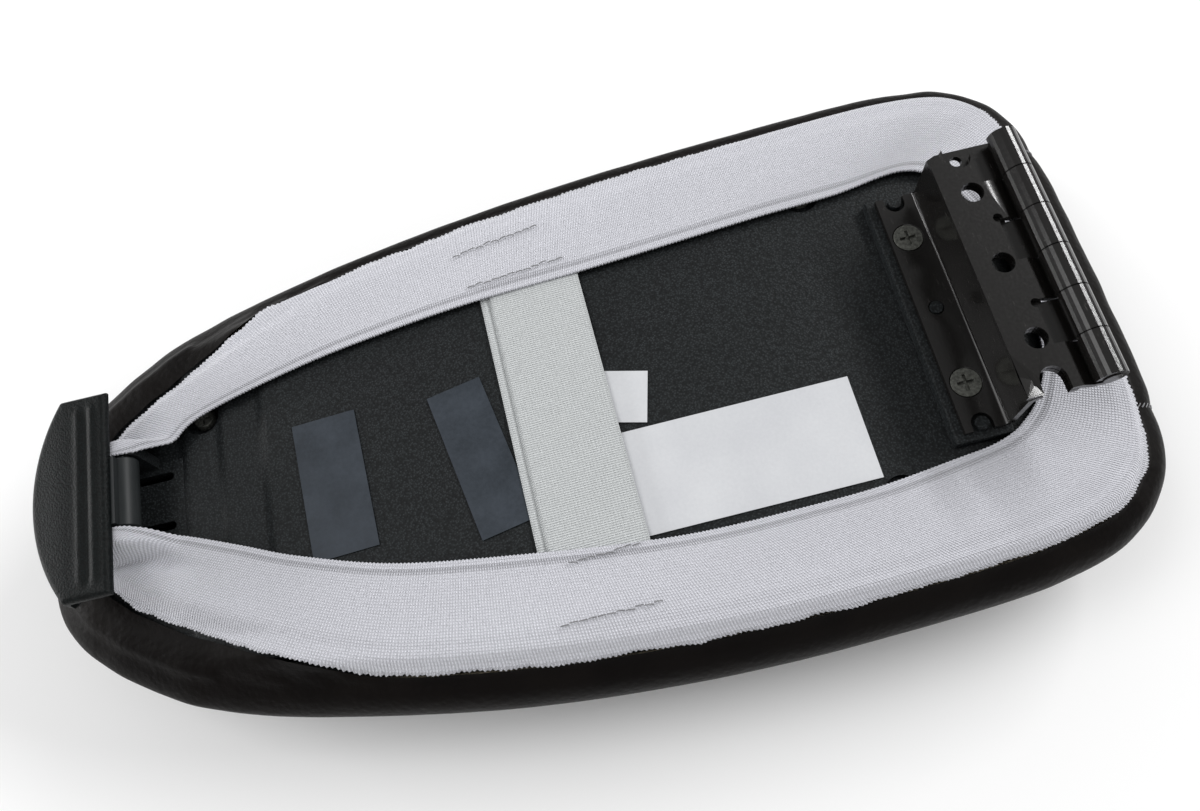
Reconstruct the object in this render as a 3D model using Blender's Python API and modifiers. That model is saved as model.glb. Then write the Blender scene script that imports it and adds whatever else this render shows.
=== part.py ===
# Lid of a car's console armrest, lying on its padded face with its working side up.
# A slip-on leatherette cover is held by an elastic band and a cross strap.
# +X runs to the hinge, -X to the finger latch, +Z up. The origin is under the middle of the pad.
import bpy
import bmesh
import math
import numpy as np
from mathutils import Matrix, Vector

MM = 0.001
TAU = 2 * math.pi

# Clearances
gap = 0.3 * MM              # between pieces that touch
runningGap = 0.1 * MM       # radial, round a pin

# Pad: plan outline of its widest contour as shares of half length and half width, nose to tail
halfLength = 147 * MM
halfWidth = 76 * MM
padDepth = 42 * MM          # tray face down to the padded face
noseDrift = -1.5 * MM       # the pad's middle line runs off to one side towards the hinge
tailDrift = 5.5 * MM
driftStart = 0.41           # share of half length before the middle where the drift starts
outlineStations = ((-1, 0), (-0.982, 0.32), (-0.843, 0.58), (-0.646, 0.75), (-0.306, 0.89),
                   (0.034, 0.971), (0.41, 1), (0.748, 0.982), (0.912, 0.868), (0.986, 0.605), (1, 0))
loopPoints = 72             # points round the outline

# Cover section as (distance in from the outline, depth below the tray face), hem to padded face
coverThickness = 1.3 * MM
hemInset = 8 * MM
hemDepth = 4.2 * MM
seamInset = 3.2 * MM
seamDepth = 26 * MM
sideProfile = ((hemInset, hemDepth), (3.6 * MM, 6.2 * MM), (0.9 * MM, 9.6 * MM), (0, 14 * MM),
               (0.8 * MM, 20 * MM), (seamInset, seamDepth))
crownShares = (0.475, 0.75, 0.92, 1)           # of the way from the seam to the padded face
crownInsets = (7.5 * MM, 15 * MM, 25 * MM, 38 * MM)
rearSeamY = 40 * MM         # where the rear strip of the cover is sewn to the side strip

# Hard shells under the cover
carrierInset = 10.2 * MM
carrierWall = 2.3 * MM
carrierRimDepth = 4.8 * MM
carrierFloorDepth = 17.5 * MM
trayWall = 2.4 * MM
trayRimDepth = 10 * MM
trayChamfer = 1.5 * MM
trayPlay = 0.4 * MM         # between the tray and the carrier round it
frontThickness = 2.6 * MM
stepDrop = 1.33 * MM        # each of the three steps down to the latch
stepEnds = tuple(fromNose - halfLength for fromNose in (65 * MM, 53 * MM, 42 * MM))
stepRun = 4 * MM
stepOverlap = 3 * MM        # the tray's two hollows meet this far under the first step
screwBossRadius = 4 * MM
plinthBevel = 0.7 * MM

# Tray screws, a pair near the tail and a pair near the nose
trayScrewPlaces = ((halfLength - 73.7 * MM, halfWidth - 31.5 * MM), (46 * MM - halfLength, 21.8 * MM))
trayScrewHead = 3.2 * MM
trayScrewShank = 1.6 * MM
screwRecess = 5.2 * MM
recessDepth = 1.8 * MM
headHeight = 1.4 * MM

# Elastic
bandThickness = 0.8 * MM
bandLift = 2.35 * MM        # over the labels and both strap layers
bandShoulder = 15.5 * MM
strapWidth = 25 * MM
strapThickness = 0.5 * MM
strapX = -3.7 * MM
strapHalfSpan = halfWidth - 22 * MM
strapLift = 0.75 * MM
strapLayerShift = 2.8 * MM
strapTurn = math.radians(1.5)

# Labels and tape: name, middle as a share of half length, middle y, length, width, turn
sheetThickness = 0.2 * MM
sheetLift = 0.25 * MM
stickers = (("label_large", 0.2483, -25.5 * MM, 66 * MM, 28 * MM, math.radians(0.8)),
            ("label_small", 0.085, -2.3 * MM, 11.5 * MM, 14.4 * MM, math.radians(-14)),
            ("clear_tape_front", -0.449, -7.5 * MM, 17 * MM, 38 * MM, math.radians(3)),
            ("clear_tape_middle", -0.187, -9.2 * MM, 15 * MM, 42 * MM, math.radians(11)))

# Hinge
sheetSteel = 1.5 * MM
pinRadius = 2.1 * MM
curlRadius = pinRadius + runningGap + sheetSteel / 2     # to the middle of the rolled sheet
curlSweep = math.radians(275)
hingeAxisX = halfLength - 27 * MM
knuckles = 6
knuckleLength = 11.45 * MM
hingeHalf = knuckles * knuckleLength / 2
plinthHeight = 3.3 * MM
plinthHalf = hingeHalf + 1.85 * MM
plinthEnd = hingeAxisX - 16.4 * MM
plinthStart = plinthEnd - 14.9 * MM
flangeStart = plinthStart + 2.2 * MM
riserX = plinthEnd - 1.2 * MM
bendSize = 1.2 * MM         # chamfer that stands for each bend of the sheet
leafEdgeX = hingeAxisX - 6.8 * MM
consoleLeafStart = riserX - 2 * MM
leafRecess = 2.2 * MM       # how far the console leaf is cut back beside the lid leaf's knuckles
leafHoleX = hingeAxisX - 12.2 * MM
leafHoleSpacing = 20.6 * MM
leafHoleRadius = 2.8 * MM
smallHoleRadius = 1.5 * MM
reliefRadius = 1.2 * MM
leafCorner = 4.2 * MM
notchRadius = 3.2 * MM
notchY = hingeHalf - 3.15 * MM
raisedFlange = 20.35 * MM   # middle of the lid leaf's raised flange above the tray face
screwX = plinthStart + 7 * MM
screwY = 21.5 * MM
hingeScrewHead = 3.85 * MM
hingeScrewShank = 1.9 * MM
hingeScrewLength = 13 * MM
screwRim = 0.2 * MM
screwPoint = 2 * MM
screwCross = (4.4 * MM, 1.2 * MM)      # across and deep
traySlot = (3.4 * MM, 0.7 * MM)
locatorRadius = 1.7 * MM
locatorY = hingeHalf - 1.75 * MM
locatorRise = 0.4 * MM

# Latch
latchAxisX = 29.5 * MM - halfLength
latchAxisZ = 7.6 * MM
hubRadius = 3.8 * MM
hubHalf = 9.35 * MM
latchPinRadius = 1.5 * MM
latchSideGap = 0.4 * MM     # between the hub and each ear
earThickness = 3 * MM
earRadius = hubRadius + 0.2 * MM
plateTop = 15.1 * MM
plateThickness = 2.4 * MM
plateInnerX = latchAxisX + 0.8 * MM
plateCornerX = plateInnerX - 11.7 * MM
plateTipX = plateCornerX - 7.9 * MM
plateHalf = 26.6 * MM
grooveSpacing = 3.2 * MM
grooveWidth = 1.2 * MM
grooveDepth = 0.4 * MM
grooveEnd = 4 * MM
webRun = (3 * MM, 0.6 * MM)            # in front of and behind the latch pin
skirtDrop = 6.2 * MM
skirtWall = 2 * MM
springX = latchAxisX - 7.9 * MM
springRadius = 2.3 * MM
springWire = 0.4 * MM
springTurns = 6
springPost = 3 * MM
pocketHalf = hubHalf + 2.05 * MM
pocketEnd = latchAxisX + 10.5 * MM
pocketRise = 0.8 * MM
pocketBevel = 0.3 * MM
slotY = hubHalf - 2.45 * MM
slotWidth = 2.3 * MM
slotEnd = latchAxisX + 7.9 * MM

hingeAxisZ = raisedFlange + curlRadius
frontDrop = len(stepEnds) * stepDrop
trayInset = carrierInset + carrierWall + trayPlay
trayFloorDepth = carrierFloorDepth - carrierWall     # where the tray's bosses reach the carrier
through = 1 * MM            # how far a cutter reaches past what it cuts

# Inner edge of the elastic band, from the nose, along the sides and round the hinge plinth
bandNose = ((17.9 * MM, 0), (18.6 * MM, 10 * MM), (24.5 * MM, 15 * MM), (47 * MM, 19.5 * MM))
bandSides = ((-0.524, 0.342), (-0.34, 0.425), (-0.109, 0.487), (0.204, 0.533), (0.51, 0.55))
bandTail = ((5.6 * MM, -4.8 * MM), (-2.5 * MM, -1.3 * MM), (-8.4 * MM, 8.1 * MM))
bandKnots = [(x - halfLength, y) for x, y in bandNose]
bandKnots += [(x * halfLength, y * halfWidth) for x, y in bandSides]
bandKnots += [(plinthEnd - x, plinthHalf - y) for x, y in bandTail]
bandKnots.append((plinthEnd + 10.5 * MM, 0))
padKnots = [(x * halfLength, y * halfWidth) for x, y in outlineStations]

# Name: colour, roughness, metallic
finishes = {
    "leatherette": ((0.018, 0.013, 0.011), 0.48, 0),
    "foam": ((0.42, 0.38, 0.3), 0.95, 0),
    "carrier_plastic": ((0.03, 0.03, 0.03), 0.6, 0),
    "tray_plastic": ((0.03, 0.036, 0.04), 0.55, 0),
    "elastic": ((0.72, 0.72, 0.76), 0.9, 0),
    "paper": ((0.82, 0.82, 0.83), 0.7, 0),
    "tape": ((0.14, 0.16, 0.18), 0.35, 0),
    "black_steel": ((0.012, 0.012, 0.012), 0.28, 0.6),
    "oxide_steel": ((0.06, 0.06, 0.058), 0.38, 0.8),
    "bright_steel": ((0.5, 0.5, 0.5), 0.3, 1),
}

for old in list(bpy.data.objects):
    bpy.data.objects.remove(old)
parts = bpy.data.collections.new("armrest_lid")
cutters = bpy.data.collections.new("cutters")
for group in (parts, cutters):
    bpy.context.scene.collection.children.link(group)
cutters.hide_render = True


def finish(name):
    material = bpy.data.materials.get(name) or bpy.data.materials.new(name)
    material.use_nodes = True
    colour, roughness, metallic = finishes[name]
    shader = material.node_tree.nodes["Principled BSDF"]
    shader.inputs["Base Color"].default_value = (*colour, 1)
    shader.inputs["Roughness"].default_value = roughness
    shader.inputs["Metallic"].default_value = metallic
    return material


def lifted(z):
    # Heights are given from the tray's face, which is padDepth above the table
    return z + padDepth


def addObject(name, bm, material=None, smooth=True):
    mesh = bpy.data.meshes.new(name)
    bmesh.ops.recalc_face_normals(bm, faces=bm.faces)
    bm.to_mesh(mesh)
    bm.free()
    thing = bpy.data.objects.new(name, mesh)
    (parts if material else cutters).objects.link(thing)
    if material:
        mesh.materials.append(finish(material))
    else:
        thing.hide_render = True
        thing.display_type = "WIRE"
    if smooth:
        mesh.shade_smooth()
        mesh.set_sharp_from_angle(angle=math.radians(35))
    return thing


def change(target, tool, operation):
    # Folded sheet keeps its holes closed only with the manifold solver
    modifier = target.modifiers.new(tool.name, "BOOLEAN")
    modifier.operation = operation
    modifier.object = tool
    modifier.solver = "MANIFOLD" if "sheet" in target.modifiers else "EXACT"
    return target


def cut(target, tool):
    return change(target, tool, "DIFFERENCE")


def join(target, tool):
    return change(target, tool, "UNION")


def block(name, low, high, material=None, turn=0, bevel=0):
    # An upright box between two corners given from the tray face
    middle = (Vector(low) + Vector(high)) / 2
    size = Vector(high) - Vector(low)
    bm = bmesh.new()
    bmesh.ops.create_cube(bm, size=1, matrix=Matrix.Diagonal((*size, 1)))
    if bevel:
        bmesh.ops.bevel(bm, geom=bm.edges[:], offset=bevel, segments=2, profile=0.5, affect="EDGES")
    made = addObject(name, bm, material)
    made.location = (middle.x, middle.y, lifted(middle.z))
    made.rotation_euler.z = turn
    return made


def rod(name, radius, start, end, material=None, top=None, sides=24):
    # A round bar between two points given from the tray face; top is a second radius at the end
    start, end = Vector(start), Vector(end)
    bm = bmesh.new()
    bmesh.ops.create_cone(bm, cap_ends=True, segments=sides, radius1=radius,
                          radius2=radius if top is None else top, depth=(end - start).length)
    made = addObject(name, bm, material)
    middle = (start + end) / 2
    made.location = (middle.x, middle.y, lifted(middle.z))
    made.rotation_euler = (end - start).to_track_quat("Z", "X").to_euler()
    return made


def turned(name, x, y, profile, material=None, sides=24):
    # An upright turned piece; profile lists (radius, height) from the bottom up
    circle = [(math.cos(TAU * i / sides), math.sin(TAU * i / sides)) for i in range(sides)]
    rings = [[Vector((x + r * c, y + r * s, lifted(z))) for c, s in circle] for r, z in profile]
    return loft(name, rings, material)


def slab(name, points, low, high, material=None):
    # A flat outline with a thickness
    bm = bmesh.new()
    face = bm.faces.new([bm.verts.new((x, y, lifted(low))) for x, y in points])
    grown = bmesh.ops.extrude_face_region(bm, geom=[face])["geom"]
    raised = [v for v in grown if isinstance(v, bmesh.types.BMVert)]
    bmesh.ops.translate(bm, vec=(0, 0, high - low), verts=raised)
    return addObject(name, bm, material)


def slotTool(name, x, y, mouthY, radius, low, high, steps=10):
    # A notch with a round end at y that runs out past mouthY
    side = math.copysign(1, mouthY - y)
    turns = [math.pi * i / steps for i in range(steps + 1)]
    points = [(x + radius * math.cos(t), y - side * radius * math.sin(t)) for t in turns]
    points += [(x - radius, mouthY), (x + radius, mouthY)]
    return slab(name, points, low, high)


def outline(half, inset=0.0):
    # A smooth closed curve through the knots and their mirror image, evenly spaced, moved inwards
    knots = np.array(half + [(x, -y) for x, y in half[-2:0:-1]])
    dense = []
    for i in range(len(knots)):
        a, b, c, d = (knots[(i + k) % len(knots)] for k in (-1, 0, 1, 2))
        for t in np.linspace(0, 1, 24, endpoint=False):
            dense.append(0.5 * (2 * b + (c - a) * t + (2 * a - 5 * b + 4 * c - d) * t * t
                                + (3 * b - a - 3 * c + d) * t ** 3))
    dense = np.array(dense + dense[:1])
    walked = np.append(0, np.cumsum(np.linalg.norm(np.diff(dense, axis=0), axis=1)))
    wanted = np.linspace(0, walked[-1], loopPoints, endpoint=False)
    loop = np.column_stack([np.interp(wanted, walked, dense[:, axis]) for axis in (0, 1)])
    along = np.roll(loop, -1, axis=0) - np.roll(loop, 1, axis=0)
    along /= np.linalg.norm(along, axis=1)[:, None]
    inward = np.column_stack([along[:, 1], -along[:, 0]])
    return loop + inward * inset


def drift(x):
    share = max(0, (x / halfLength + driftStart) / (1 + driftStart))
    return noseDrift + (tailDrift - noseDrift) * share ** 2


def ring(inset, depth):
    return [Vector((x, y + drift(x), lifted(-depth))) for x, y in outline(padKnots, inset)]


def offsetProfile(profile, distance):
    # The section moved towards the inside of the pad
    points = np.array(profile)
    along = np.gradient(points, axis=0)
    along /= np.linalg.norm(along, axis=1)[:, None]
    return [(inset - distance * a[1], depth + distance * a[0])
            for (inset, depth), a in zip(points, -along)]


def stretch(points, around):
    # Part of a ring, drawn back by half a gap at both ends
    picked = [points[i % len(points)].copy() for i in around]
    for end, before in ((0, 1), (-1, -2)):
        picked[end] += (picked[before] - picked[end]).normalized() * gap / 2
    return picked


def loft(name, rings, material=None, around=None, closedSection=False):
    # Skin through rings of equal length. around picks a stretch of each ring.
    # A closed section joins the last ring to the first, and otherwise both end rings are capped.
    bm = bmesh.new()
    if around is not None:
        rings = [stretch(points, around) for points in rings]
    rows = [[bm.verts.new(point) for point in points] for points in rings]
    steps = len(rows[0]) - (around is not None)
    pairs = list(zip(rows, rows[1:] + rows[:1])) if closedSection else list(zip(rows, rows[1:]))
    for first, second in pairs:
        for i in range(steps):
            j = (i + 1) % len(first)
            bm.faces.new((first[i], first[j], second[j], second[i]))
    if around is not None:
        for i in (0, -1):
            bm.faces.new([row[i] for row in rows])
    elif not closedSection:
        bm.faces.new(rows[0])
        bm.faces.new(rows[-1])
    return addObject(name, bm, material)


def foldedSheet(name, path, tabStart, tabRows, halfSpan, thickness, material):
    # A strip of sheet metal along path (x, z), as wide as the hinge, then rolled tabs on some knuckles
    bm = bmesh.new()
    cuts = [-halfSpan]
    for low, high in tabRows:
        cuts += [low, high]
    cuts = sorted(set(cuts + [halfSpan]))
    grid = [[bm.verts.new((x, y, lifted(z))) for y in cuts] for x, z in path]
    for i in range(len(path) - 1):
        for j in range(len(cuts) - 1):
            middle = (cuts[j] + cuts[j + 1]) / 2
            inTab = any(low < middle < high for low, high in tabRows)
            if i < tabStart or inTab:
                bm.faces.new((grid[i][j], grid[i + 1][j], grid[i + 1][j + 1], grid[i][j + 1]))
    for loose in [v for v in bm.verts if not v.link_faces]:
        bm.verts.remove(loose)
    made = addObject(name, bm, material)
    wall = made.modifiers.new("sheet", "SOLIDIFY")
    wall.thickness = thickness
    wall.offset = 0
    wall.use_even_offset = True
    return made


def rolled(fromAngle, sweep, steps=20):
    # Points round the hinge pin, anticlockwise seen from -Y
    for i in range(steps + 1):
        angle = fromAngle + sweep * i / steps
        yield (hingeAxisX + curlRadius * math.cos(angle), hingeAxisZ + curlRadius * math.sin(angle))


def mirrored(y):
    return ((1, y), (-1, -y))


crown = [(inset, seamDepth + share * (padDepth - seamDepth))
         for inset, share in zip(crownInsets, crownShares)]
coverProfile = list(sideProfile) + crown
coverInside = offsetProfile(coverProfile, coverThickness)
seamRow = len(sideProfile)


def coverStrip(name, around):
    outside = [ring(*p) for p in coverProfile[:seamRow]]
    inside = [ring(*p) for p in coverInside[:seamRow]]
    return loft(name, outside + inside[::-1], "leatherette", around, closedSection=True)


def makeCover():
    tail = [i for i, (x, y) in enumerate(outline(padKnots)) if x > 0 and abs(y) < rearSeamY]
    coverStrip("cover_rear_strip", range(tail[0] - 1, tail[-1] + 2))
    coverStrip("cover_side_strip", range(tail[-1] + 1, tail[0] - 1 + loopPoints + 1))
    outside = [ring(seamInset, seamDepth + gap)] + [ring(*p) for p in coverProfile[seamRow:]]
    inside = [ring(*p) for p in coverInside[seamRow:]]
    inside.insert(0, ring(coverInside[seamRow - 1][0], coverInside[seamRow - 1][1] + gap))
    loft("cover_top_panel", inside[::-1] + outside, "leatherette")


def makeFoam():
    outside = [ring(*p) for p in offsetProfile(coverProfile, coverThickness + gap)]
    rimInset = carrierInset - gap
    inside = [ring(rimInset, hemDepth + coverThickness + gap), ring(rimInset, carrierFloorDepth + gap)]
    loft("foam_pad", inside[::-1] + outside, "foam")


def makeCarrier():
    inner = carrierInset + carrierWall
    rings = [ring(inner, trayFloorDepth), ring(inner, carrierRimDepth), ring(carrierInset, carrierRimDepth),
             ring(carrierInset, carrierFloorDepth)]
    carrier = loft("carrier_shell", rings, "carrier_plastic")
    for x, y in trayScrewPlaces:
        for side, place in mirrored(y):
            cut(carrier, rod(f"carrier_pilot_{x:.3f}_{side}", trayScrewShank + gap,
                             (x, place, -carrierFloorDepth - through), (x, place, -trayFloorDepth + through)))


def steppedCutter():
    # Everything above the wave of steps that falls away to the latch
    wave = []
    for number, end in enumerate(stepEnds):
        for t in np.linspace(0, 1, 6):
            fall = (1 - math.cos(math.pi * t)) / 2
            wave.append((end - stepRun * t, -stepDrop * (number + fall)))
    far = -halfLength - through
    section = [(stepEnds[0], through)] + wave + [(far, wave[-1][1]), (far, through)]
    bm = bmesh.new()
    face = bm.faces.new([bm.verts.new((x, -halfWidth, lifted(z))) for x, z in section])
    grown = bmesh.ops.extrude_face_region(bm, geom=[face])["geom"]
    moved = [v for v in grown if isinstance(v, bmesh.types.BMVert)]
    bmesh.ops.translate(bm, vec=(0, 2 * halfWidth, 0), verts=moved)
    return addObject("steps", bm)


def makeTray():
    rings = [ring(trayInset, trayRimDepth), ring(trayInset, trayChamfer), ring(trayInset + trayChamfer, 0)]
    tray = loft("base_tray", rings, "tray_plastic")
    inner = trayInset + trayWall
    under = trayRimDepth + through
    hollow = loft("tray_hollow", [ring(inner, under), ring(inner, trayWall)])
    cut(hollow, block("hollow_limit", (-halfLength, -halfWidth, -under - through),
                      (stepEnds[0] + stepOverlap + through, halfWidth, 0)))
    cut(tray, hollow)
    front = loft("front_hollow", [ring(inner, under), ring(inner, frontDrop + frontThickness)])
    cut(front, block("front_limit", (stepEnds[0] + stepOverlap, -halfWidth - through, -under - through),
                     (halfLength, halfWidth + through, 0)))
    cut(tray, front)
    cut(tray, steppedCutter())
    join(tray, block("plinth", (plinthStart, -plinthHalf, -through), (plinthEnd, plinthHalf, plinthHeight),
                     bevel=plinthBevel))
    for x, y in trayScrewPlaces:
        head = -frontDrop if x < stepEnds[0] else 0
        for side, place in mirrored(y):
            tag = f"{x:.3f}_{side}"
            join(tray, rod(f"boss_{tag}", screwBossRadius + through, (x, place, -trayFloorDepth + gap),
                           (x, place, head - recessDepth - gap)))
            cut(tray, rod(f"recess_{tag}", screwRecess, (x, place, head - recessDepth),
                          (x, place, 2 * through)))
            cut(tray, rod(f"clearance_{tag}", trayScrewShank + gap, (x, place, -trayFloorDepth - through),
                          (x, place, 0)))
    for side, place in mirrored(screwY):
        join(tray, rod(f"screw_boss_{side}", screwBossRadius, (screwX, place, -trayRimDepth),
                       (screwX, place, gap - trayWall)))
        cut(tray, sinkTool(f"screw_hole_{side}", place, -trayRimDepth - through, flangeTop() + through))
    for number, place in enumerate((0, locatorY, -locatorY)):
        join(tray, rod(f"locator_{number}", locatorRadius, (screwX, place, plinthHeight - through),
                       (screwX, place, flangeTop() + locatorRise)))
    makePocket(tray)


def makePocket(tray):
    floor = -frontDrop
    join(tray, block("pocket_plate", (latchAxisX - earRadius + gap, -pocketHalf, floor - through),
                     (pocketEnd, pocketHalf, floor + pocketRise), bevel=pocketBevel))
    slotStart = latchAxisX - earRadius + through
    roundX = slotEnd - slotWidth / 2
    low, high = floor - frontThickness - through, floor + pocketRise + through
    for side, place in mirrored(slotY):
        cut(tray, block(f"slot_{side}", (slotStart, place - slotWidth / 2, low),
                        (roundX, place + slotWidth / 2, high)))
        cut(tray, rod(f"slot_end_{side}", slotWidth / 2, (roundX, place, low - through),
                      (roundX, place, high + through), sides=16))
    for side, place in mirrored(hubHalf + latchSideGap):
        end = place + side * earThickness
        ear = block(f"ear_{side}", (latchAxisX - earRadius, min(place, end), floor - through),
                    (latchAxisX + earRadius, max(place, end), latchAxisZ))
        join(ear, rod(f"ear_top_{side}", earRadius, (latchAxisX, place, latchAxisZ),
                      (latchAxisX, end, latchAxisZ)))
        join(tray, ear)
    reach = hubHalf + earThickness + 2 * through
    cut(tray, rod("latch_pin_hole", latchPinRadius + runningGap, (latchAxisX, -reach, latchAxisZ),
                  (latchAxisX, reach, latchAxisZ)))
    join(tray, rod("spring_post", springRadius - springWire - gap, (springX, 0, floor - through),
                   (springX, 0, floor + springPost), sides=16))


def makeTrayScrews():
    number = 0
    for x, y in trayScrewPlaces:
        seat = (-frontDrop if x < stepEnds[0] else 0) - recessDepth + gap
        for side, place in mirrored(y):
            number += 1
            screw = turned(f"tray_screw_{number}", x, place,
                           [(trayScrewShank, gap - carrierFloorDepth), (trayScrewShank, seat),
                            (trayScrewHead, seat), (trayScrewHead * 0.8, seat + headHeight)],
                           "oxide_steel", sides=16)
            crossRecess(screw, number, (x, place, seat + headHeight), *traySlot)


def crossRecess(screw, tag, top, across, depth):
    x, y, z = top
    slim = across / 5
    for turn in (0, 1):
        wide, narrow = (across / 2, slim / 2) if turn else (slim / 2, across / 2)
        cut(screw, block(f"cross_{tag}_{turn}", (x - wide, y - narrow, z - depth),
                         (x + wide, y + narrow, z + through)))


def makeElastic():
    inner = [Vector((x, y, lifted(bandLift))) for x, y in outline(bandKnots)]
    bottom = [ring(hemInset + 2 * gap, hemDepth - gap), ring(bandShoulder, -bandLift), inner]
    top = [[point + Vector((0, 0, bandThickness)) for point in row] for row in bottom]
    loft("elastic_band", bottom + top[::-1], "elastic", closedSection=True)
    for number, name in enumerate(("cross_strap_lower", "cross_strap_upper")):
        low = strapLift + number * (strapThickness + gap)
        middle = strapX - (1 - number) * strapLayerShift
        block(name, (middle - strapWidth / 2, -strapHalfSpan, low),
              (middle + strapWidth / 2, strapHalfSpan, low + strapThickness), "elastic", turn=strapTurn)


def makeStickers():
    for name, share, y, length, width, turn in stickers:
        x = share * halfLength
        block(name, (x - length / 2, y - width / 2, sheetLift),
              (x + length / 2, y + width / 2, sheetLift + sheetThickness),
              "tape" if "tape" in name else "paper", turn)


def ownRows(first):
    # Every second knuckle, counted from the +Y end
    for number in range(first, knuckles, 2):
        high = hingeHalf - number * knuckleLength
        low = high - knuckleLength
        yield (low + gap / 2 if number < knuckles - 1 else low, high - gap / 2 if number else high)


def leafHoles(leaf, low, high, notchSides):
    for number in (-1, 0, 1):
        y = number * leafHoleSpacing
        cut(leaf, rod(f"{leaf.name}_hole_{number}", leafHoleRadius, (leafHoleX, y, low),
                      (leafHoleX, y, high)))
    for side in notchSides:
        cut(leaf, slotTool(f"{leaf.name}_notch_{side}", leafHoleX, side * notchY,
                           side * (hingeHalf + 2 * through), notchRadius, low, high))


def flangeTop():
    return plinthHeight + gap + sheetSteel


def sinkTool(name, y, low, high):
    # Countersunk hole for a hinge screw, through the flange and into the plinth
    wide, narrow = hingeScrewHead + gap, hingeScrewShank + gap
    return turned(name, screwX, y, [(narrow, low), (narrow, flangeTop() - wide + narrow),
                                    (wide, flangeTop()), (wide, high)])


def makeLidLeaf():
    flange = plinthHeight + gap + sheetSteel / 2
    path = [(flangeStart, flange), (riserX - bendSize, flange), (riserX, flange + bendSize),
            (riserX, raisedFlange - bendSize), (riserX + bendSize, raisedFlange), (leafEdgeX, raisedFlange)]
    tabStart = len(path) - 1
    path += list(rolled(math.radians(-90), curlSweep))
    leaf = foldedSheet("hinge_lid_leaf", path, tabStart, list(ownRows(0)), hingeHalf, sheetSteel,
                       "black_steel")
    low, high = raisedFlange - 2 * sheetSteel, raisedFlange + 2 * sheetSteel
    leafHoles(leaf, low, high, (-1,))
    cut(leaf, rod("lid_leaf_small_hole", smallHoleRadius, (leafHoleX, notchY, low), (leafHoleX, notchY, high),
                  sides=16))
    low, high = plinthHeight - through, flangeTop() + through
    for side, place in mirrored(screwY):
        cut(leaf, sinkTool(f"lid_leaf_sink_{side}", place, low, high))
        cut(leaf, slotTool(f"lid_leaf_slot_{side}", screwX, side * locatorY,
                           side * (hingeHalf + 2 * through), locatorRadius + 1 * MM, low, high))
    cut(leaf, rod("lid_leaf_locator", locatorRadius + gap, (screwX, 0, low), (screwX, 0, high)))


def makeConsoleLeaf():
    level = raisedFlange + sheetSteel + gap
    tabStart = leafEdgeX - leafRecess
    path = [(consoleLeafStart, level), (tabStart, level), (leafEdgeX, level),
            ((leafEdgeX + hingeAxisX) / 2, raisedFlange)]
    path += list(rolled(math.radians(-90), curlSweep))
    leaf = foldedSheet("hinge_console_leaf", path, 1, list(ownRows(1)), hingeHalf, sheetSteel,
                       "black_steel")
    low, high = level - 2 * sheetSteel, level + 2 * sheetSteel
    leafHoles(leaf, low, high, (-1, 1))
    for side in (-1, 1):
        y = side * (knuckleLength + reliefRadius / 2)
        cut(leaf, rod(f"relief_{side}", reliefRadius, (tabStart, y, low), (tabStart, y, high), sides=16))
    half = leafCorner / math.sqrt(2)
    cut(leaf, block("leaf_corner", (consoleLeafStart - half, hingeHalf - half, low),
                    (consoleLeafStart + half, hingeHalf + half, high), turn=math.radians(45)))


def makeHingePin():
    reach = hingeHalf + gap
    rod("hinge_pin", pinRadius, (hingeAxisX, -reach, hingeAxisZ), (hingeAxisX, reach, hingeAxisZ),
        "black_steel")


def makeHingeScrews():
    top = flangeTop()
    coneDepth = hingeScrewHead - hingeScrewShank
    profile = [(hingeScrewShank / 2, top - hingeScrewLength),
               (hingeScrewShank, top - hingeScrewLength + screwPoint),
               (hingeScrewShank, top - coneDepth - screwRim),
               (hingeScrewHead, top - screwRim), (hingeScrewHead, top)]
    for name, place in (("hinge_screw_far", screwY), ("hinge_screw_near", -screwY)):
        screw = turned(name, screwX, place, profile, "oxide_steel")
        crossRecess(screw, name, (screwX, place, top), *screwCross)


def plateOutline(shrink=0.0):
    # Straight inner edge, short straight sides, then a shallow arc to the tip
    rise = plateCornerX - plateTipX
    radius = (plateHalf ** 2 + rise ** 2) / (2 * rise)
    reach = math.asin(plateHalf / radius)
    centre = plateTipX + radius
    points = [(plateInnerX, -plateHalf + shrink), (plateInnerX, plateHalf - shrink)]
    for angle in np.linspace(reach, -reach, 17):
        points.append((centre - (radius - shrink) * math.cos(angle),
                       (plateHalf - shrink) * math.sin(angle) / math.sin(reach)))
    return points


def makeLatch():
    under = plateTop - plateThickness
    handle = slab("latch_handle", plateOutline(), under - skirtDrop, plateTop, "tray_plastic")
    low = under - skirtDrop - through
    cut(handle, slab("under_plate", plateOutline(skirtWall), low, under))
    cut(handle, block("open_inside", (plateCornerX + gap, -plateHalf - through, low),
                      (plateInnerX + through, plateHalf + through, under)))
    join(handle, rod("hub", hubRadius, (latchAxisX, -hubHalf, latchAxisZ), (latchAxisX, hubHalf, latchAxisZ)))
    join(handle, block("web", (latchAxisX - webRun[0], -hubHalf, latchAxisZ - through),
                       (latchAxisX + webRun[1], hubHalf, under + gap)))
    cut(handle, rod("hub_bore", latchPinRadius + runningGap, (latchAxisX, -hubHalf - through, latchAxisZ),
                    (latchAxisX, hubHalf + through, latchAxisZ)))
    for number in (1, 2):
        middle = plateInnerX - number * grooveSpacing
        cut(handle, block(f"groove_{number}",
                          (middle - grooveWidth / 2, grooveEnd - plateHalf, plateTop - grooveDepth),
                          (middle + grooveWidth / 2, plateHalf - grooveEnd, plateTop + through)))
    reach = hubHalf + latchSideGap + earThickness + gap
    rod("latch_pivot_pin", latchPinRadius, (latchAxisX, -reach, latchAxisZ), (latchAxisX, reach, latchAxisZ),
        "bright_steel")
    makeSpring(-frontDrop + gap + springWire, under - gap - springWire)


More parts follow.
